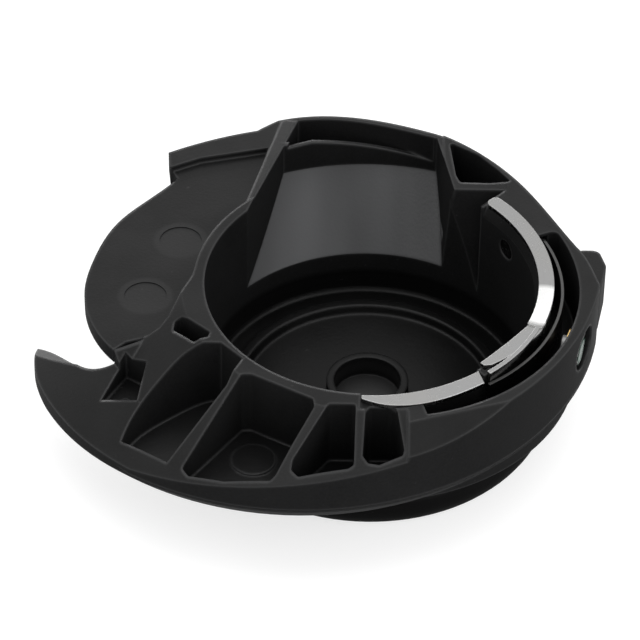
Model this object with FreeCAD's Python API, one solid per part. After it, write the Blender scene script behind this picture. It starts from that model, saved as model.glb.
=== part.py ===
import FreeCAD, Part
import math
import os

# Drop-in bobbin case for a class 15 bobbin. Millimetres, +Z up.
# The origin is on the bobbin chamber's axis, on the underside of the cup.
V = FreeCAD.Vector
UP = V(0, 0, 1)
ORIGIN = V(0, 0, 0)

# heights
FLOOR_Z = 1.5            # top of the ring the bobbin stands on
DISH_Z = 0.9             # sunk middle of the floor
BOSS_Z = 2.6             # top of the little centre ring
SILL_Z = 4.7             # lower edge of the back window
FLANGE_Z = 5.3           # underside of the front flange
RIM_Z = 6.9              # lower edge of the outer wall, and pocket floors
LOBE_Z = (9.5, 10.7)     # thin left plate
TOP_Z = 12.5             # chamber rim and flat top
BACK_TILT = 5.0          # the back wall's top climbs to the right, degrees
BACK_SPAN = (-8.05, 5.75)  # that climb starts and ends at these x
BACK_Z = TOP_Z - 0.1 - (BACK_SPAN[1] - BACK_SPAN[0]) * math.tan(math.radians(BACK_TILT))
FLANGE_METAL_Z = 12.9    # top of the polished thread plate

# chamber and cup radii, about the origin
BOSS_R = (2.55, 3.14)
DISH_R = 9.9
SEAT_R = 10.6            # outside of the ring the bobbin stands on
GUTTER_Z = 1.25          # shallow gutter between that ring and the wall
BOWL_Z = 2.75            # chamber wall is straight above this
CHAMBER_R = 12.36
CHAMBER_WALL_R = 13.2
WINDOW_R = 18.2          # back edge of the window's sloping floor
LEDGE_Z = 10.75          # height of the edge behind that floor, at x = 0
LEDGE_TILT = 9.5         # that edge falls to the right, degrees
CUP_R = 14.0
CUP_FILLET = 2.0
FLARE_R = 15.8
FLARE_Z = (3.6, 5.6)

# outer rim circle, which runs in the rotating hook
RIM_C = V(-5.2, 3.9, 0)
RIM_R = 22.75
LIP_R = 21.4

# sloping shoulder: a cone about the chamber axis
SHOULDER_R = 14.1
SHOULDER_FALL = 0.555
SCOOP_X = 2.75           # right of here a flat scoop takes the shoulder's place

# tension spring channel
CHANNEL_C = V(1.1, -0.2, 0)
CHANNEL_R = 14.55
CHANNEL_FLOOR_Z = 6.0

# moulding details
EJECTORS = [(-14.4, 6.6), (-16.8, 0.1)]
PAD = (-8.4, -13.6)

# metal parts
PLATE_T = 0.35
PLATE_R = 13.25          # inner face of the thread plate's upright
PLATE_FLANGE_R = (12.6, 13.75)
LEAF_C = V(1.35, 0.15, 0)
LEAF_R = 12.95
LEAF_T = 0.22
LEAF_Z = (8.2, 12.1)
SET_ANGLE = 32.5         # spring screw, degrees round from +X
SET_Z = 10.2
TENSION_ANGLE = -15.0    # tension screw
TENSION_Z = 10.0
HEAD_SEAT_R = 15.85      # floor of the recess round the tension screw's head


def prism(edges, z0, z1):
    """Closed flat outline pushed up from z0 to z1."""
    face = Part.Face(Part.Wire(edges))
    face.translate(V(0, 0, z0))
    return face.extrude(V(0, 0, z1 - z0))


def polygon(points, z0, z1, corner=0.0):
    """Straight-sided prism, its upright corners rounded where asked."""
    loop = [V(x, y, 0) for x, y in points]
    wire = Part.makePolygon(loop + [loop[0]])
    solid = prism(wire.Edges, z0, z1)
    if corner > 0:
        upright = [e for e in solid.Edges if abs(e.Vertexes[0].Z - e.Vertexes[-1].Z) > 0.1]
        solid = solid.makeFillet(corner, upright)
    return solid


def through(points):
    """Smooth curve through a few points."""
    curve = Part.BSplineCurve()
    curve.interpolate([V(x, y, 0) for x, y in points])
    return curve.toShape()


def line(a, b):
    return Part.makeLine(V(a[0], a[1], 0), V(b[0], b[1], 0))


def polar(radius, degrees, z=0.0, centre=ORIGIN):
    a = math.radians(degrees)
    return V(centre.x + radius * math.cos(a), centre.y + radius * math.sin(a), z)


def tube(r_in, r_out, z0, z1, centre=ORIGIN):
    at = V(centre.x, centre.y, z0)
    outer = Part.makeCylinder(r_out, z1 - z0, at, UP)
    return outer.cut(Part.makeCylinder(r_in, z1 - z0, at, UP))


def wedge(start, end, z0, z1, reach=40.0):
    """Pie slice about the chamber axis between two angles."""
    steps = max(2, int((end - start) / 30) + 1)
    rim = [polar(reach, start + (end - start) * i / steps) for i in range(steps + 1)]
    return polygon([(0, 0)] + [(p.x, p.y) for p in rim], z0, z1)


def sector(r_in, r_out, start, end, z0, z1, centre=ORIGIN):
    """Part of a ring between two angles."""
    a = Part.Arc(polar(r_out, start, 0, centre), polar(r_out, (start + end) / 2, 0, centre),
                 polar(r_out, end, 0, centre)).toShape()
    b = Part.Arc(polar(r_in, end, 0, centre), polar(r_in, (start + end) / 2, 0, centre),
                 polar(r_in, start, 0, centre)).toShape()
    ends = [Part.makeLine(a.lastVertex().Point, b.firstVertex().Point),
            Part.makeLine(b.lastVertex().Point, a.firstVertex().Point)]
    return prism([a, ends[0], b, ends[1]], z0, z1)


def turned(profile):
    """Solid turned about the chamber axis from (radius, height) points."""
    loop = [V(r, 0, z) for r, z in profile]
    face = Part.Face(Part.makePolygon(loop + [loop[0]]))
    return face.revolve(ORIGIN, UP, 360)


def radial_rod(radius, r0, r1, degrees, z):
    """Cylinder lying along a radius of the chamber."""
    start = polar(r0, degrees, z)
    return Part.makeCylinder(radius, r1 - r0, start, polar(1, degrees))


def joined(shapes):
    solid = shapes[0].fuse(shapes[1:])
    return solid.removeSplitter()


# ---------------------------------------------------------------- plan outline
CLAW_TIP = (-25.0, -0.6)
CLAW_FOOT = (-17.3, -15.1)
NOTCH_END = (-18.9, -6.0)
LOBE_CORNER = (-14.9, 14.0)
BACK_CORNER = (-15.7, 16.6)
BACK_STEP = (-8.8, 19.5)
BACK_RISE = (-7.2, 20.7)
BACK_END = (4.7, 18.2)
RIGHT_END = (15.6, 4.4)
WALL_TURN = 350.1        # the outer rim circle ends here, degrees round its own centre


def notch_edge():
    return through([NOTCH_END, (-20.7, -5.6), (-22.5, -3.6), (-23.9, -1.6), CLAW_TIP])


def lobe_edge():
    return through([LOBE_CORNER, (-16.6, 11.9), (-19.2, 8.7), (-20.9, 4.2), (-21.4, 0.7),
                    (-20.8, -2.7), NOTCH_END])


def rim_arc(start, end):
    """Arc of the outer rim circle, angles about its own centre."""
    points = [polar(RIM_R, a, 0, RIM_C) for a in (start, (start + end) / 2, end)]
    return Part.Arc(*points).toShape()


def front_region(z0, z1):
    """Claw, front flange and right wall, out to the rim circle."""
    start = math.degrees(math.atan2(CLAW_FOOT[1] - RIM_C.y, CLAW_FOOT[0] - RIM_C.x)) + 360
    arc = rim_arc(start, WALL_TURN)
    foot = arc.firstVertex().Point
    right = arc.lastVertex().Point
    claw = through([CLAW_TIP, (-25.1, -3.0), (-23.7, -7.3), (-21.1, -11.5), (foot.x, foot.y)])
    turn = through([(right.x, right.y), (16.75, 1.7), (16.25, 3.2), RIGHT_END])
    edges = [notch_edge(), claw, arc, turn,
             line(RIGHT_END, (9.0, 4.2)), line((9.0, 4.2), (-12.8, 3.0)),
             line((-12.8, 3.0), (-13.3, 0.5)), line((-13.3, 0.5), (-14.9, -3.4)),
             line((-14.9, -3.4), (-15.6, -4.2)), line((-15.6, -4.2), (-18.0, -5.1)),
             line((-18.0, -5.1), NOTCH_END)]
    return prism(edges, z0, z1)


def back_edges():
    """Back outline from the right wall round to the left corner."""
    return [through([RIGHT_END, (14.4, 6.7), (11.6, 11.8), (8.6, 15.4), BACK_END]),
            through([BACK_END, (2.4, 19.3), (-1.8, 20.7), (-5.2, 21.0), BACK_RISE]),
            through([BACK_RISE, (-8.1, 20.1), BACK_STEP]),
            through([BACK_STEP, (-11.0, 18.8), (-13.4, 17.8), BACK_CORNER])]


def back_region(z0, z1):
    """Back wall, window slope and the flat top behind the thread plate."""
    edges = back_edges() + [line(BACK_CORNER, (-15.5, 14.8)), line((-15.5, 14.8), (-13.2, 16.0)),
                            line((-13.2, 16.0), (-7.9, 17.4)), line((-7.9, 17.4), (-9.8, 7.9)),
                            line((-9.8, 7.9), (9.0, 4.2)), line((9.0, 4.2), RIGHT_END)]
    return prism(edges, z0, z1)


def lobe_plate():
    """Thin left plate between the back wall and the claw."""
    edges = [lobe_edge(), line(NOTCH_END, (-18.0, -5.1)), line((-18.0, -5.1), (-15.6, -4.2)),
             line((-15.6, -4.2), (-9.0, -2.0)), line((-9.0, -2.0), (-6.0, 18.0)),
             line((-6.0, 18.0), BACK_STEP),
             through([BACK_STEP, (-11.0, 18.8), (-13.4, 17.8), BACK_CORNER]),
             through([BACK_CORNER, (-15.4, 15.2), LOBE_CORNER])]
    return prism(edges, *LOBE_Z)


# ---------------------------------------------------------------- case body
def shoulder_solid():
    """Everything under the sloping shoulder."""
    far = 30.0
    drop = SHOULDER_FALL * (far - SHOULDER_R)
    return turned([(0, 0), (far, 0), (far, TOP_Z - drop), (SHOULDER_R, TOP_Z), (0, TOP_Z)])


def rim_undercut():
    """Ring cutter that tapers the flange edge below the rim line."""
    profile = [V(RIM_R, 0, RIM_Z - 0.15), V(LIP_R, 0, FLANGE_Z - 0.2), V(32, 0, FLANGE_Z - 0.2),
               V(32, 0, RIM_Z - 0.15)]
    face = Part.Face(Part.makePolygon(profile + [profile[0]]))
    ring = face.revolve(ORIGIN, UP, 360)
    ring.translate(RIM_C)
    return ring


def rim_groove():
    """Fine line where the wall meets the flange edge."""
    return tube(RIM_R - 0.18, RIM_R + 1, RIM_Z - 0.15, RIM_Z + 0.05, RIM_C)


def front_body():
    solid = front_region(FLANGE_Z, TOP_Z)
    left = polygon([(SCOOP_X, -40), (SCOOP_X, -10), (0, 0), (-12.0, 5.0), (-40, 5.0), (-40, -40)],
                   RIM_Z - 3, TOP_Z + 2)
    solid = solid.cut(left.cut(shoulder_solid()))
    scoop = Part.makeBox(30, 20, 10, V(-15, 0, 0))
    scoop.rotate(ORIGIN, V(1, 0, 0), -37)
    scoop.rotate(ORIGIN, UP, 180 + 18.2)
    scoop.translate(V(6.3, -14.1, TOP_Z))
    right = polygon([(SCOOP_X, -40), (SCOOP_X, -10), (16, -6), (16, -40)], 6, 20)
    solid = solid.cut(scoop.common(right))
    return solid.cut(rim_undercut()).cut(rim_groove()).cut(claw_chamfer())


def window_cut():
    """Opening in the back of the chamber, with its sloping floor."""
    inner = CHAMBER_R - 0.06
    floor = turned([(0, SILL_Z), (inner, SILL_Z), (WINDOW_R, SILL_Z + 4.3), (WINDOW_R, 20), (0, 20)])
    left = [(0, 2), (-9.45, 7.75), (-5.6, 20.6)]
    wires = []
    for right, z in (([(5.3, 17.3), (5.7, 11.0)], SILL_Z - 0.5), ([(5.3, 17.3), (6.5, 11.0)], TOP_Z)):
        loop = [V(x, y, z) for x, y in left + [(5.1, 20.6)] + right]
        wires.append(Part.makePolygon(loop + [loop[0]]))
    return floor.common(Part.makeLoft(wires, True, True))


def behind_window():
    """Narrow gap between the window's low back edge and the thin outer wall."""
    outer = through([(5.0, 17.55), (2.3, 18.8), (-1.8, 20.25), (-5.62, 20.55)])
    sides = [line((-5.62, 20.55), (-6.77, 16.7)), line((-6.77, 16.7), (5.3, 16.9)),
             line((5.3, 16.9), (5.0, 17.55))]
    inside = prism([outer] + sides, RIM_Z + 1.0, TOP_Z + 1)
    gap = inside.cut(Part.makeCylinder(WINDOW_R + 0.4, 20, ORIGIN, UP))
    lowered = Part.makeBox(30, 30, 10, V(-15, 0, 0))
    lowered.rotate(ORIGIN, V(0, 1, 0), LEDGE_TILT)
    lowered.translate(V(0, 0, LEDGE_Z))
    return gap.fuse(inside.common(lowered))


def chamber_relief():
    """Leaning face that widens the chamber's top between the window and the flange."""
    wires = []
    for back, z in ((11.0, TOP_Z + 0.01), (8.9, TOP_Z - 9.0)):
        loop = [V(6.3, 6.0, z), V(6.3, back, z), V(10.6, back, z), V(10.6, 6.0, z)]
        wires.append(Part.makePolygon(loop + [loop[0]]))
    return Part.makeLoft(wires, True, True).common(wedge(46.6, 75, 0, 20))


def back_body():
    solid = back_region(RIM_Z, TOP_Z)
    fall = Part.makeBox(60, 60, 10, V(-30, 0, 0))
    fall.rotate(ORIGIN, V(0, 1, 0), -BACK_TILT)
    left, right = BACK_SPAN
    fall.translate(V(right, 0, TOP_Z - 0.1))
    across = [(left, 8.3), (-5.0, 8.3), (-5.0, 13), (right, 13), (right, 30), (left, 30)]
    solid = solid.cut(fall.common(polygon(across, 10, 20)))
    solid = solid.cut(polygon([(-30, 5), (left, 5), (left, 30), (-30, 30)], BACK_Z, 20))
    solid = solid.cut(polygon([(-30, 5), (-9.4, 5), (-9.4, 30), (-30, 30)], 0, LOBE_Z[0]))
    hollow = turned([(13.3, 0), (CHAMBER_R + 1.1, SILL_Z), (17.0, SILL_Z + 2.5), (17.0, 0)])
    slope = turned([(CHAMBER_R - 0.1, 3.0), (CHAMBER_WALL_R, 3.0), (18.6, RIM_Z), (18.6, RIM_Z + 2.1),
                    (CHAMBER_R - 0.1, SILL_Z + 0.5)])
    slope = slope.common(polygon([(-9.8, 7.9), (-6.2, 20.5), (6.4, 20.5), (6.4, 9.0), (0, 2)], 2, 12))
    solid = solid.fuse(slope)
    solid = solid.cut(hollow.common(polygon([(-8.6, 9), (-5.2, 20), (5.0, 20), (5.0, 9)], 2, 12)))
    triangle = [(6.2, 16.8), (8.4, 15.3), (9.9, 13.5), (10.9, 12.05), (9.3, 11.8), (6.95, 11.85), (6.65, 12.7)]
    solid = solid.cut(polygon(triangle, RIM_Z + 1.0, 20, 0.2))
    return solid


def left_jamb():
    """Upright rib beside the window, falling gently towards the back."""
    rib = polygon([(-9.9, 7.4), (-9.0, 7.4), (-5.5, 20.4), (-6.9, 20.6)], LOBE_Z[0], TOP_Z)
    foot = polygon([(-9.9, 7.4), (-9.0, 7.4), (-7.2, 13.6), (-8.3, 13.6)], SILL_Z - 0.4, LOBE_Z[1])
    fall = Part.makeBox(20, 30, 5, V(-20, 0, 0))
    fall.rotate(ORIGIN, V(1, 0, 0), -4.8)
    fall.translate(V(0, 8.0, TOP_Z))
    return rib.cut(fall).fuse(foot)


def cup():
    solid = turned([(0, 0), (CUP_R, 0), (CUP_R, FLARE_Z[0]), (FLARE_R, FLARE_Z[1] - 0.6),
                    (FLARE_R, RIM_Z), (0, RIM_Z)])
    bottom = [e for e in solid.Edges if abs(e.BoundBox.ZMax) < 1e-6 and e.Length > 50]
    return solid.makeFillet(CUP_FILLET, bottom).cut(back_trim())


def back_trim():
    """Keeps the flare off the open back and left of the cup."""
    ring = tube(CUP_R - 0.3, 30, FLARE_Z[0], RIM_Z + 0.1)
    return ring.common(wedge(20, 196, 0, 20))


def pockets():
    """Open-topped pockets between the front ribs: outline and floor height."""
    outlines = [
        ([(-14.4, -4.2), (-13.9, -3.95), (-11.75, -5.85), (-11.9, -6.4), (-12.9, -6.75),
          (-14.5, -5.0)], RIM_Z + 1.6, 0.18),
        ([(-9.3, -10.4), (-8.6, -10.4), (-4.1, -12.95), (-4.0, -13.7), (-5.5, -16.0), (-6.7, -18.0),
          (-7.1, -18.35), (-10.4, -17.9), (-13.0, -17.0), (-13.5, -16.3)], RIM_Z, 0.3),
        ([(-2.9, -13.45), (-1.0, -13.45), (-1.1, -17.7), (-1.5, -17.95), (-5.1, -18.3), (-5.6, -17.8),
          (-5.5, -17.1)], RIM_Z, 0.25),
        ([(0.0, -13.45), (1.5, -13.45), (2.0, -14.1), (2.5, -16.6), (2.4, -17.0), (0.7, -17.7),
          (-0.1, -17.6), (-0.5, -17.1), (-0.3, -14.0)], RIM_Z, 0.2),
    ]
    return [polygon(points, floor, 20, corner) for points, floor, corner in outlines]


def curved_pocket():
    """Pocket whose curved left wall leans outward towards the top."""
    low = [(-17.9, -13.1), (-16.1, -10.5), (-14.6, -9.2), (-13.2, -8.1), (-12.1, -7.45), (-10.9, -7.15)]
    high = [(-18.75, -12.3), (-16.95, -9.65), (-15.35, -8.3), (-13.8, -7.3), (-12.4, -7.0), (-10.9, -7.0)]
    corners = [(-9.3, -8.7), (-10.4, -11.0), (-14.6, -15.6)]
    wires = []
    for curve, z in ((low, RIM_Z), (high, TOP_Z + 0.5)):
        stops = [curve[-1]] + corners + [curve[0]]
        sides = [line(a, b) for a, b in zip(stops, stops[1:])]
        wire = Part.Wire([through(curve)] + sides)
        wire.translate(V(0, 0, z))
        wires.append(wire)
    return Part.makeLoft(wires, True, True)


def slot_pocket():
    """Square-cornered pocket behind the claw, with a small pip on its floor."""
    cut = polygon([(-18.0, -5.9), (-16.4, -6.9), (-17.0, -10.0), (-19.7, -8.9)], 7.9, 20)
    return cut.cut(Part.makeCylinder(0.42, 0.45, V(-17.9, -9.0, 7.8), UP))


def channel():
    """Curved slot the tension spring stands in."""
    ring = Part.makeCylinder(CHANNEL_R, 10, V(CHANNEL_C.x, CHANNEL_C.y, CHANNEL_FLOOR_Z + 1.4), UP)
    ring = ring.cut(Part.makeCylinder(CHAMBER_WALL_R, 20, ORIGIN, UP))
    slot = ring.common(wedge(-74, 24, 0, 20))
    corner = [e for e in slot.Edges if e.BoundBox.ZLength > 5 and e.BoundBox.YMin > 6.1]
    return slot.makeFillet(0.55, corner)


def spring_root():
    """Covered slot that holds the fixed end of the tension spring."""
    return sector(13.9, 14.75, 22, 36, LEAF_Z[0] - 0.2, LEAF_Z[1] + 0.1)


def claw_chamfer():
    """Slanted face along the inside of the claw's point."""
    a, b, run = V(-26.4, -1.1, 5.9), V(-20.7, -5.45, 8.3), V(1.55, 1.95, -0.6)
    face = Part.Face(Part.makePolygon([a, b, b + run, a + run, a]))
    return face.extrude(V(0, 0, 4))


def notch_ramp():
    """Sloping face between the left plate and the lower deck beside the notch."""
    a, b, run = V(-18.85, -5.98, LOBE_Z[1]), V(-15.6, -4.2, LOBE_Z[1]), V(0.75, -1.4, -1.3)
    face = Part.Face(Part.makePolygon([a, b, b + run, a + run, a]))
    return face.extrude(V(0, 0, -2))


def ejector_marks():
    """Two shallow round mould marks on the left plate."""
    return [Part.makeCylinder(1.6, 1, V(x, y, LOBE_Z[1] - 0.06), UP) for x, y in EJECTORS]


def screw_holes():
    """Clear holes for the two screws, the sunk outer recess and the bush seat."""
    return [radial_rod(0.80, 11.5, 15.5, SET_ANGLE, SET_Z),
            radial_rod(1.60, 14.0, 20.0, SET_ANGLE, SET_Z),
            radial_rod(1.25, 13.9, 20.0, TENSION_ANGLE, TENSION_Z),
            radial_rod(1.75, HEAD_SEAT_R, 20.0, TENSION_ANGLE, TENSION_Z)]


def plate_seat():
    """Relief in the chamber wall for the polished plate and its top flange."""
    upright = sector(CHAMBER_WALL_R, PLATE_R + PLATE_T + 0.05, -53, 46, 7.4, 20)
    top = sector(CHAMBER_R - 1, PLATE_FLANGE_R[1] + 0.05, -53.5, 46.5, TOP_Z - 0.02, 20)
    strip = sector(CHAMBER_R - 1, 13.95, -93, -51, TOP_Z - 0.3, 20)
    lean = turned([(CHAMBER_R - 1, TOP_Z - 0.9), (CHAMBER_R, TOP_Z - 0.9), (12.75, TOP_Z), (12.75, 20),
                   (CHAMBER_R - 1, 20)])
    return [upright, top, strip, lean.common(wedge(-49, 45.5, 5, 25))]


def stop_tab():
    """Rounded tab that keeps the case from turning with the hook."""
    return polygon([(14.2, 4.8), (16.1, 6.45), (17.5, 6.45), (18.0, 4.6), (17.3, 1.0), (15.0, 1.0)],
                   RIM_Z, 10.4, 0.7)


def case_body():
    plate = lobe_plate()
    wall = tube(CHAMBER_R - 0.3, CHAMBER_WALL_R, FLOOR_Z, TOP_Z)
    solid = joined([cup(), wall, front_body(), back_body(), plate, stop_tab(), notch_ramp()])
    solid = joined([solid, left_jamb()])
    bore = turned([(0, FLOOR_Z), (SEAT_R, FLOOR_Z), (SEAT_R + 0.1, GUTTER_Z), (CHAMBER_R - 0.4, GUTTER_Z),
                   (CHAMBER_R - 0.2, GUTTER_Z + 0.3), (CHAMBER_R, BOWL_Z), (CHAMBER_R, 20), (0, 20)])
    dish = turned([(0, DISH_Z), (DISH_R - 0.35, DISH_Z), (DISH_R, FLOOR_Z), (DISH_R, 3), (0, 3)])
    boss = tube(BOSS_R[0], BOSS_R[1], DISH_Z - 0.1, BOSS_Z)
    solid = solid.cut(bore).cut(dish).fuse(boss)
    solid = solid.cut(window_cut()).cut(behind_window()).cut(chamber_relief())
    cutters = pockets() + [curved_pocket(), slot_pocket(), channel(), spring_root()]
    for cutter in cutters + ejector_marks() + screw_holes() + plate_seat():
        solid = solid.cut(cutter)
    pad = Part.makeCylinder(1.65, 0.3, V(PAD[0], PAD[1], RIM_Z - 0.2), UP)
    return solid.fuse(pad).removeSplitter()


# ---------------------------------------------------------------- metal parts
def guide_plate():
    """Polished thread plate: upright, turned-in top flange and stepped tongue."""
    upright = sector(PLATE_R, PLATE_R + PLATE_T, -50, 45, 8.0, FLANGE_METAL_Z)
    flange = sector(PLATE_FLANGE_R[0], PLATE_FLANGE_R[1], -23, 45.5, TOP_Z, FLANGE_METAL_Z)
    tip = [e for e in flange.Edges if e.BoundBox.XLength < 0.01 and e.BoundBox.YMin > 8]
    flange = flange.makeFillet(0.45, tip)
    inner = through([(12.15, -4.3), (10.2, -6.75), (8.05, -9.15)])
    outer = through([(8.85, -9.35), (9.9, -8.6), (11.1, -7.5), (12.6, -5.6)])
    tongue = prism([inner, line((8.05, -9.15), (8.3, -9.42)), line((8.3, -9.42), (8.85, -9.35)), outer,
                    line((12.6, -5.6), (13.0, -4.6)), line((13.0, -4.6), (12.15, -4.3))], TOP_Z, TOP_Z + 0.3)
    solid = joined([upright, flange, tongue])
    return solid.cut(radial_rod(0.80, 12, 15, SET_ANGLE, SET_Z))


def front_strip():
    """Polished strip on the front of the chamber rim, past the thread slit."""
    arc_in = through([(-0.6, -12.62), (3.9, -12.0), (7.9, -9.85)])
    arc_out = through([(8.3, -11.1), (5.1, -12.95), (2.5, -13.62), (-0.6, -12.95)])
    edges = [arc_in, line((7.9, -9.85), (8.3, -11.1)), arc_out, line((-0.6, -12.95), (-0.6, -12.62))]
    return prism(edges, TOP_Z - 0.28, TOP_Z + 0.1)


def tension_spring():
    """Leaf spring: fixed at the back right, free end near the thread slit."""
    leaf = sector(LEAF_R, LEAF_R + LEAF_T, -56, 33, *LEAF_Z, centre=LEAF_C)
    return leaf.cut(radial_rod(0.80, 12, 17, SET_ANGLE, SET_Z))


def slotted_head(radius, r0, r1, degrees, z, slot=0.35):
    head = radial_rod(radius, r0, r1, degrees, z)
    cut = Part.makeBox(1.0, 4 * radius, slot, V(r1 - 0.25, -2 * radius, z - slot / 2))
    cut.rotate(ORIGIN, UP, degrees)
    return head.cut(cut)


def spring_screw():
    """Screw that holds the leaf and the thread plate to the chamber wall."""
    shank = radial_rod(0.76, 12.42, 14.6, SET_ANGLE, SET_Z)
    return joined([shank, slotted_head(1.45, 14.5, 15.15, SET_ANGLE, SET_Z)])


def screw_bush():
    """Brass bush pressed in the outer wall for the tension screw."""
    return radial_rod(1.25, 15.25, HEAD_SEAT_R, TENSION_ANGLE, TENSION_Z).cut(
        radial_rod(0.80, 14, 18, TENSION_ANGLE, TENSION_Z))


def tension_screw():
    """Slotted adjusting screw whose tip bears on the leaf."""
    shank = radial_rod(0.75, 14.85, 16.1, TENSION_ANGLE, TENSION_Z)
    return joined([shank, slotted_head(1.35, HEAD_SEAT_R + 0.05, 16.3, TENSION_ANGLE, TENSION_Z)])


PARTS = {
    "case_body": case_body,
    "guide_plate": guide_plate,
    "front_strip": front_strip,
    "tension_spring": tension_spring,
    "spring_screw": spring_screw,
    "screw_bush": screw_bush,
    "tension_screw": tension_screw,
}

os.makedirs("parts", exist_ok=True)
for name, make in PARTS.items():
    shape = make()
    solids = len(shape.Solids)
    box = shape.BoundBox
    print(name, "valid", shape.isValid(), "solids", solids, "volume", round(shape.Volume, 1),
          "box", [round(v, 2) for v in (box.XMin, box.YMin, box.ZMin, box.XMax, box.YMax, box.ZMax)])
    shape.exportStep("parts/" + name + ".step")
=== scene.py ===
import math

import bmesh
import bpy
from mathutils import Matrix, Vector


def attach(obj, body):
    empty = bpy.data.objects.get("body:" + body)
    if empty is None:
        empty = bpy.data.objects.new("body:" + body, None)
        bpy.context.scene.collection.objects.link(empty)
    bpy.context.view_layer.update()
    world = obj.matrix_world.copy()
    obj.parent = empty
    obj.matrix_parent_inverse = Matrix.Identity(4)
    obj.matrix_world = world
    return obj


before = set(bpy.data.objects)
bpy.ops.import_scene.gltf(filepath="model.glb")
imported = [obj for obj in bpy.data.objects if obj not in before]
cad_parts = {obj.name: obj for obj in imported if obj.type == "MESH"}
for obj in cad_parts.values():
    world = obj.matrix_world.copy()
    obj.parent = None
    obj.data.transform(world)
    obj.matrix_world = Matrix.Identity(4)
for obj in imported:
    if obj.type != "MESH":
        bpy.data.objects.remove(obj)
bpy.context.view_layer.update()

MM = 0.001
UP = Vector((0, 0, 1))

# places shared with the model, in millimetres
TENSION_ANGLE = math.radians(-15.0)
TENSION_Z = 10.0
TENSION_HEAD_FACE = 16.3
LOBE_TOP = 10.7
EJECTORS = [(-14.4, 6.6), (-16.8, 0.1)]
EJECTOR_FADE = (2.2, 1.9)          # outer and inner distance of each mark's patch
# the hub ring's floor, where a lighter patch is painted, and the distances over which that painted
# light fades
HUB_FLOOR = (0.0, 0.0, 1.75)
HUB_LIGHT_FADE = (2.7, 2.5)
PLATE_HIGHLIGHT_AT = (12.9, -2.8, 12.9)    # where a near-white highlight is painted on the plate
PLATE_HIGHLIGHT_FADE = (2.4, 1.9)

# where the sloping floor of the back window lies, and how much of its normal points up
SLOPE_X = (-9.5, 5.8)
SLOPE_Y = 8.0
SLOPE_Z = (4.6, 9.0)
SLOPE_TILT = (0.6, 0.95)

STEEP = 0.35                       # faces whose upward part is below this count as sides, and get the moulding's copy with painted shading
SHADOW_Z = (3.4, 2.8)              # the moulding is darker below these heights
EDGE_ROUNDING = 0.34               # look of the moulding's softened edges
# width of the band of painted highlight along the moulding's edges
EDGE_HIGHLIGHT_WIDTH = 0.36

# the dab of threadlock paint on the tension screw, in millimetres
DAB_RADIUS = 1.05
DAB_THICK = 0.10
DAB_EDGE = 0.004
DAB_SIDE = -0.1
DAB_DOWN = -0.30
DAB_WIDER = 1.15
DAB_LOWER = 0.85
DAB_RINGS = 5
DAB_SPOKES = 28

# the camera
LOOK_AT = Vector((-3.68, 8.07, 1.5)) * MM
VIEW_DISTANCE = 0.300
VIEW_ELEVATION = math.radians(41.47)
VIEW_ROLL = math.radians(0.82)
LENS_MM = 216.0
SENSOR_MM = 36.0

# the studio, in metres: name, place, size and watts of each softbox
SOFTBOXES = (
    ("key", (-0.02, 0.08, 0.45), (0.50, 0.40), 1.0),
    ("side", (0.45, -0.25, 0.30), (0.30, 0.30), 0.7),
    ("back", (-0.05, 0.60, 0.14), (0.50, 0.16), 0.75),
)
LIGHT_AIM = Vector((0, 0, 0.006))
WORLD_STRENGTH = 0.95
FLOOR_GLOW = 0.70
FLOOR_HALF = 1.2


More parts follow.
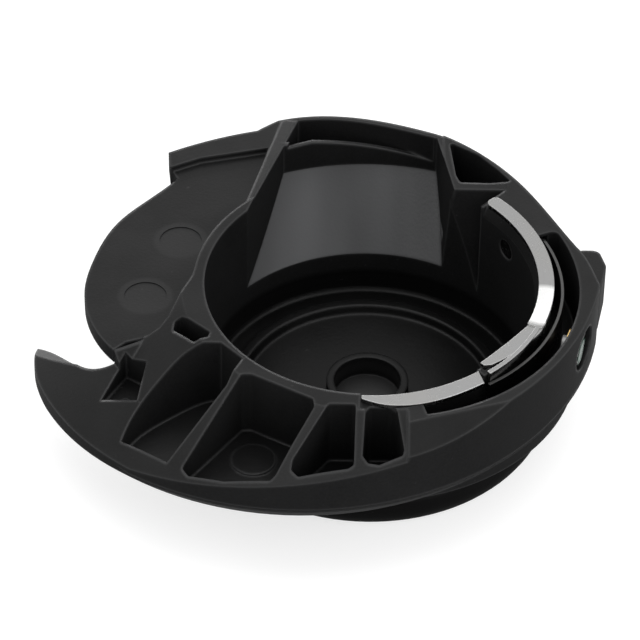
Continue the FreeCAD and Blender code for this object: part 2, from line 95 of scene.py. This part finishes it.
# ---------------------------------------------------------------- node helpers
class Nodes:
    """Short hand for building one material's node tree."""

    def __init__(self, name):
        self.material = bpy.data.materials.new(name)
        self.material.use_nodes = True
        self.tree = self.material.node_tree
        self.tree.nodes.clear()
        self.output = self.new("ShaderNodeOutputMaterial")
        self.shader = self.new("ShaderNodeBsdfPrincipled")
        self.link(self.shader.outputs[0], self.output.inputs["Surface"])
        self.place = self.new("ShaderNodeTexCoord").outputs["Object"]

    def new(self, kind, **settings):
        node = self.tree.nodes.new(kind)
        for key, value in settings.items():
            setattr(node, key, value)
        return node

    def link(self, a, b):
        self.tree.links.new(a, b)

    def feed(self, socket, value):
        """Links a socket, or sets its plain value."""
        if isinstance(value, bpy.types.NodeSocket):
            self.link(value, socket)
        else:
            socket.default_value = value

    def set(self, **values):
        """Feeds the shader's inputs, named with _ in place of spaces."""
        for key, value in values.items():
            self.feed(self.shader.inputs[key.replace("_", " ")], value)

    def stretched(self, scale):
        """The object's coordinates scaled on each axis, for drawn-out patterns."""
        node = self.new("ShaderNodeMapping")
        self.link(self.place, node.inputs["Vector"])
        node.inputs["Scale"].default_value = scale
        return node.outputs[0]

    def noise(self, scale, detail=3.0, rough=0.5, vector=None, distortion=0.0):
        node = self.new("ShaderNodeTexNoise")
        self.link(vector or self.place, node.inputs["Vector"])
        node.inputs["Scale"].default_value = scale
        node.inputs["Detail"].default_value = detail
        node.inputs["Roughness"].default_value = rough
        node.inputs["Distortion"].default_value = distortion
        return node.outputs["Fac"]

    def voronoi(self, scale):
        node = self.new("ShaderNodeTexVoronoi", feature="F1")
        self.link(self.place, node.inputs["Vector"])
        node.inputs["Scale"].default_value = scale
        return node.outputs["Distance"]

    def spread(self, value, low, high, to_low=0.0, to_high=1.0):
        node = self.new("ShaderNodeMapRange")
        self.feed(node.inputs["Value"], value)
        node.inputs["From Min"].default_value = low
        node.inputs["From Max"].default_value = high
        node.inputs["To Min"].default_value = to_low
        node.inputs["To Max"].default_value = to_high
        return node.outputs["Result"]

    def near(self, point_mm, fade_mm):
        """1 within the inner distance of a point, falling to 0 at the outer one."""
        away = self.new("ShaderNodeVectorMath", operation="DISTANCE")
        self.link(self.place, away.inputs[0])
        away.inputs[1].default_value = [v * MM for v in point_mm]
        outer, inner = fade_mm
        return self.spread(away.outputs["Value"], outer * MM, inner * MM)

    def maths(self, operation, a, b):
        node = self.new("ShaderNodeMath", operation=operation)
        self.feed(node.inputs[0], a)
        self.feed(node.inputs[1], b)
        return node.outputs[0]

    def times(self, a, b):
        return self.maths("MULTIPLY", a, b)

    def plus(self, a, b):
        return self.maths("ADD", a, b)

    def between(self, value, limits, unit=1.0):
        """1 where a value lies between two limits, 0 elsewhere."""
        low, high = limits
        above = self.maths("GREATER_THAN", value, low * unit)
        return self.times(above, self.maths("LESS_THAN", value, high * unit))

    def mix(self, factor, a, b):
        node = self.new("ShaderNodeMix", data_type="RGBA")
        self.feed(node.inputs["Factor"], factor)
        for socket, value in ((node.inputs[6], a), (node.inputs[7], b)):
            self.feed(socket, value)
        return node.outputs[2]

    def mix_normal(self, factor, a, b):
        node = self.new("ShaderNodeMix", data_type="VECTOR")
        self.feed(node.inputs["Factor"], factor)
        self.link(a, node.inputs[4])
        self.link(b, node.inputs[5])
        return node.outputs[1]

    def bevel(self, radius_mm):
        node = self.new("ShaderNodeBevel", samples=6)
        node.inputs["Radius"].default_value = radius_mm * MM
        return node.outputs[0]

    def bump(self, height, distance_mm, strength, normal=None):
        node = self.new("ShaderNodeBump")
        node.inputs["Distance"].default_value = distance_mm * MM
        node.inputs["Strength"].default_value = strength
        self.link(height, node.inputs["Height"])
        if normal is not None:
            self.link(normal, node.inputs["Normal"])
        return node.outputs[0]

    def edge_highlight_mask(self, radius_mm, true_normal):
        """Where the painted edge highlight goes: 0 on open faces, up to 1 along sharp edges."""
        dot = self.new("ShaderNodeVectorMath", operation="DOT_PRODUCT")
        self.link(self.bevel(radius_mm), dot.inputs[0])
        self.link(true_normal, dot.inputs[1])
        return self.spread(dot.outputs["Value"], 0.998, 0.86)


def grey(value, tint=0.0):
    """A grey, with a little blue in it where the tint is above 0."""
    return (value, value * (1 + tint * 0.3), value * (1 + tint), 1.0)


# ---------------------------------------------------------------- the black moulding
def window_slope_mask(n, axes, normal_z):
    """1 on the sloping floor of the back window, where the moulding is smoother and has a painted
    sheen.
    """
    mask = n.maths("GREATER_THAN", axes["Y"], SLOPE_Y * MM)
    mask = n.times(mask, n.between(axes["Z"], SLOPE_Z, MM))
    mask = n.times(mask, n.between(normal_z, SLOPE_TILT))
    return n.times(mask, n.between(axes["X"], SLOPE_X, MM))


def ejector_mask(n):
    """1 on the two faint round mould marks of the left plate."""
    total = 0.0
    for x, y in EJECTORS:
        total = n.plus(total, n.near((x, y, LOBE_TOP), EJECTOR_FADE))
    return total


def slope_painted_sheen(n):
    """Painted sheen: a paler grey base colour on the back window's slope, in faint bands that run
    down it, standing in for a highlight.
    """
    highlight_streaks = n.noise(scale=170.0, detail=1.5, vector=n.stretched((1.0, 0.15, 0.15)))
    return n.mix(n.spread(highlight_streaks, 0.35, 0.65), grey(0.040, 0.04), grey(0.074, 0.04))


def paint_cup_shade_and_hub_light(n, height, base):
    """Painted shade on the low parts of the cup, and a painted lighter patch in the middle of its
    hub ring.
    """
    deep = n.spread(height, SHADOW_Z[0] * MM, SHADOW_Z[1] * MM, to_high=0.75)
    base = n.mix(deep, base, grey(0.0015))
    return n.mix(n.near(HUB_FLOOR, HUB_LIGHT_FADE), base, grey(0.022))


def black_plastic(name, shades, edge_highlight_grey, specular, roughness):
    """Black moulding: fine spark texture, faint flow marks, painted highlights along its edges, a
    painted sheen on the window slope, painted shade low in the cup and painted light on the hub
    floor.
    """
    n = Nodes(name)
    axes = n.new("ShaderNodeSeparateXYZ")
    n.link(n.place, axes.inputs[0])
    true_normal = n.new("ShaderNodeNewGeometry").outputs["Normal"]
    facing = n.new("ShaderNodeSeparateXYZ")
    n.link(true_normal, facing.inputs[0])

    slope = window_slope_mask(n, axes.outputs, facing.outputs["Z"])
    marks = ejector_mask(n)
    grain = n.noise(scale=5200.0, detail=2.0, rough=0.6)
    flow = n.noise(scale=150.0, detail=4.0, rough=0.55, distortion=0.6)
    dust = n.spread(n.noise(scale=2600.0, detail=2.0), 0.74, 0.80)
    edge_highlight = n.times(n.edge_highlight_mask(EDGE_HIGHLIGHT_WIDTH, true_normal), n.maths("SUBTRACT", 1.0, marks))

    low, high = shades
    base = n.mix(n.spread(flow, 0.35, 0.65), grey(low, 0.02), grey(high, 0.02))
    base = n.mix(n.spread(grain, 0.3, 0.7, to_high=0.35), base, grey(high * 1.5, 0.02))
    # painted highlight: paler grey along the edges
    base = n.mix(n.times(edge_highlight, 0.8), base, grey(edge_highlight_grey, 0.02))
    base = n.mix(n.times(marks, 0.6), base, grey(0.014, 0.02))
    # painted sheen on the window slope
    base = n.mix(slope, base, slope_painted_sheen(n))
    # painted shade low in the cup, painted light on the hub floor
    base = paint_cup_shade_and_hub_light(n, axes.outputs["Z"], base)
    base = n.mix(n.times(dust, 0.35), base, grey(0.05))

    rough = n.spread(flow, 0.3, 0.7, roughness, roughness + 0.09)
    for mask, change in ((edge_highlight, -0.12), (slope, -0.12), (marks, 0.08)):
        rough = n.plus(rough, n.times(mask, change))

    height = n.plus(n.times(grain, 0.7), n.times(n.voronoi(3600.0), 0.5))
    soft = n.mix_normal(marks, n.bevel(EDGE_ROUNDING), true_normal)
    n.set(Base_Color=base, Roughness=rough, IOR=1.50, Specular_IOR_Level=specular,
          Normal=n.bump(height, distance_mm=0.016, strength=0.5, normal=soft))
    return n.material


# ---------------------------------------------------------------- the other materials
def polished_steel(name, base, low, high, edge_mm, highlight_at=None):
    """Metal with faint drawing lines, small scratches and perhaps a painted highlight: a
    near-white patch at one place.
    """
    n = Nodes(name)
    lines = n.noise(scale=700.0, detail=4.0, rough=0.6, vector=n.stretched((1.0, 1.0, 14.0)))
    stain = n.noise(scale=260.0)
    scratch = n.spread(n.noise(scale=1500.0, detail=5.0, rough=0.7, distortion=1.6), 0.60, 0.68)
    colour = n.mix(n.spread(stain, 0.35, 0.7), grey(base), grey(base * 0.84, -0.03))
    # painted highlight: the metal's colour turns near-white around this place
    if highlight_at:
        colour = n.mix(n.near(highlight_at, PLATE_HIGHLIGHT_FADE), colour, grey(0.93, -0.01))
    rough = n.plus(n.spread(stain, 0.3, 0.7, low, high), n.times(scratch, 0.08))
    n.set(Base_Color=colour, Metallic=1.0, Roughness=rough,
          Normal=n.bump(lines, distance_mm=0.01, strength=0.12, normal=n.bevel(edge_mm)))
    return n.material


def brass():
    """Dull brass, browner where it is tarnished."""
    n = Nodes("brass")
    tarnish = n.noise(scale=900.0, detail=4.0, rough=0.6)
    colour = n.mix(n.spread(tarnish, 0.35, 0.7), (0.72, 0.50, 0.20, 1), (0.42, 0.27, 0.10, 1))
    n.set(Base_Color=colour, Metallic=1.0, Roughness=n.spread(tarnish, 0.3, 0.7, 0.22, 0.42),
          Normal=n.bump(tarnish, distance_mm=0.01, strength=0.15, normal=n.bevel(0.05)))
    return n.material


def green_paint():
    """Dark green threadlock varnish with an uneven surface."""
    n = Nodes("green_paint")
    patch = n.noise(scale=1400.0, rough=0.55)
    colour = n.mix(n.spread(patch, 0.35, 0.65), (0.005, 0.024, 0.014, 1), (0.010, 0.052, 0.030, 1))
    n.set(Base_Color=colour, Roughness=n.spread(patch, 0.3, 0.7, 0.22, 0.40),
          Normal=n.bump(patch, distance_mm=0.04, strength=0.5))
    return n.material


def floor_white():
    """Matt pale paper on a softly lit table."""
    n = Nodes("floor_white")
    fibre = n.noise(scale=60.0, detail=5.0, rough=0.6)
    colour = n.mix(n.spread(fibre, 0.3, 0.7), grey(0.40), grey(0.42))
    n.set(Base_Color=colour, Roughness=0.95, Emission_Color=grey(1.0),
          Emission_Strength=FLOOR_GLOW, Specular_IOR_Level=0.1)
    return n.material


# ---------------------------------------------------------------- pieces
def new_object(name, data):
    obj = bpy.data.objects.new(name, data)
    bpy.context.scene.collection.objects.link(obj)
    return obj


def cad_node(name, material):
    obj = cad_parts[name]
    obj.data.materials.clear()
    obj.data.materials.append(material)
    for poly in obj.data.polygons:
        poly.material_index = 0
    return obj


def shade_steep_faces(obj, material):
    """Gives the steep and downward faces of the moulding a rougher, shaded copy of it: painted
    shading, with its base colour and reflection set for how light falls on those faces.
    """
    obj.data.materials.append(material)
    for poly in obj.data.polygons:
        if poly.normal.z < STEEP:
            poly.material_index = 1


def dab_mesh(bm):
    """Low dome with a ragged rim, on the lower half of the tension screw's face."""
    out = Vector((math.cos(TENSION_ANGLE), math.sin(TENSION_ANGLE), 0))
    side = Vector((-math.sin(TENSION_ANGLE), math.cos(TENSION_ANGLE), 0))
    middle = out * TENSION_HEAD_FACE + side * DAB_SIDE + UP * (TENSION_Z + DAB_DOWN)
    rows = []
    for ring in range(1, DAB_RINGS + 1):
        t = ring / DAB_RINGS
        height = DAB_THICK * math.sqrt(max(0.0, 1 - t * t)) + DAB_EDGE
        row = []
        for k in range(DAB_SPOKES):
            a = 2 * math.pi * k / DAB_SPOKES
            ragged = 1 + 0.10 * math.sin(3 * a + 0.6) + 0.06 * math.sin(7 * a)
            r = DAB_RADIUS * t * ragged
            across = side * (r * math.cos(a) * DAB_WIDER) + UP * (r * math.sin(a) * DAB_LOWER)
            row.append(bm.verts.new((middle + across + out * height) * MM))
        rows.append(row)
    top = bm.verts.new((middle + out * (DAB_THICK + DAB_EDGE)) * MM)
    for k in range(DAB_SPOKES):
        bm.faces.new((top, rows[0][k], rows[0][(k + 1) % DAB_SPOKES]))
    for inner, outer in zip(rows, rows[1:]):
        for k in range(DAB_SPOKES):
            m = (k + 1) % DAB_SPOKES
            bm.faces.new((inner[k], outer[k], outer[m], inner[m]))
    bm.faces.new(list(reversed(rows[-1])))
    bmesh.ops.recalc_face_normals(bm, faces=bm.faces)


def threadlock(material):
    """The dab of paint, which turns with the screw."""
    mesh = bpy.data.meshes.new("threadlock_paint")
    bm = bmesh.new()
    dab_mesh(bm)
    bm.to_mesh(mesh)
    bm.free()
    for poly in mesh.polygons:
        poly.use_smooth = True
    mesh.materials.append(material)
    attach(new_object("threadlock_paint", mesh), "adjuster")


# ---------------------------------------------------------------- studio
def floor(material):
    half = FLOOR_HALF
    mesh = bpy.data.meshes.new("studio_floor")
    corners = [(-half, -half, 0), (half, -half, 0), (half, half, 0), (-half, half, 0)]
    mesh.from_pydata(corners, [], [(0, 1, 2, 3)])
    mesh.materials.append(material)
    new_object("studio_floor", mesh)


def softbox(name, at, size, watts):
    """White area light at a place, aimed at the object."""
    light = bpy.data.lights.new(name, "AREA")
    light.shape = "RECTANGLE"
    light.size, light.size_y = size
    light.energy = watts
    obj = new_object(name, light)
    obj.location = at
    obj.rotation_mode = "QUATERNION"
    obj.rotation_quaternion = (LIGHT_AIM - Vector(at)).to_track_quat("-Z", "Y")


def world_light(strength):
    world = bpy.data.worlds.new("studio")
    world.use_nodes = True
    back = world.node_tree.nodes["Background"]
    back.inputs["Color"].default_value = (1, 1, 1, 1)
    back.inputs["Strength"].default_value = strength
    bpy.context.scene.world = world


def camera():
    data = bpy.data.cameras.new("camera")
    data.lens = LENS_MM
    data.sensor_width = SENSOR_MM
    data.clip_start = 0.01
    obj = new_object("camera", data)
    back = Vector((0, -math.cos(VIEW_ELEVATION), math.sin(VIEW_ELEVATION)))
    turn = (-back).to_track_quat("-Z", "Y").to_matrix().to_4x4()
    roll = Matrix.Rotation(VIEW_ROLL, 4, "Z")
    obj.matrix_world = Matrix.Translation(LOOK_AT + back * VIEW_DISTANCE) @ turn @ roll
    bpy.context.scene.camera = obj


# ---------------------------------------------------------------- the scene
plastic = black_plastic("black_plastic", shades=(0.0050, 0.0070), edge_highlight_grey=0.050,
                        specular=0.16, roughness=0.27)
# shaded copy of the moulding for its steep faces: its paler base colour and weak reflection are
# painted shading
steep_shaded = black_plastic("black_plastic_steep_shaded", shades=(0.0085, 0.0115), edge_highlight_grey=0.040,
                      specular=0.012, roughness=0.50)
plate = polished_steel("polished_plate", 0.38, 0.16, 0.30, edge_mm=0.10, highlight_at=PLATE_HIGHLIGHT_AT)
leaf = polished_steel("spring_leaf", 0.10, 0.22, 0.34, edge_mm=0.05)
screw = polished_steel("screw_steel", 0.16, 0.22, 0.36, edge_mm=0.06)

shade_steep_faces(cad_node("case_body", plastic), steep_shaded)
for node, material in (("guide_plate", plate), ("front_strip", plate), ("tension_spring", leaf),
                       ("spring_screw", screw), ("tension_screw", screw), ("screw_bush", brass())):
    cad_node(node, material)
threadlock(green_paint())

floor(floor_white())
world_light(WORLD_STRENGTH)
for box in SOFTBOXES:
    softbox(*box)
bpy.context.scene.view_settings.view_transform = "Standard"
camera()
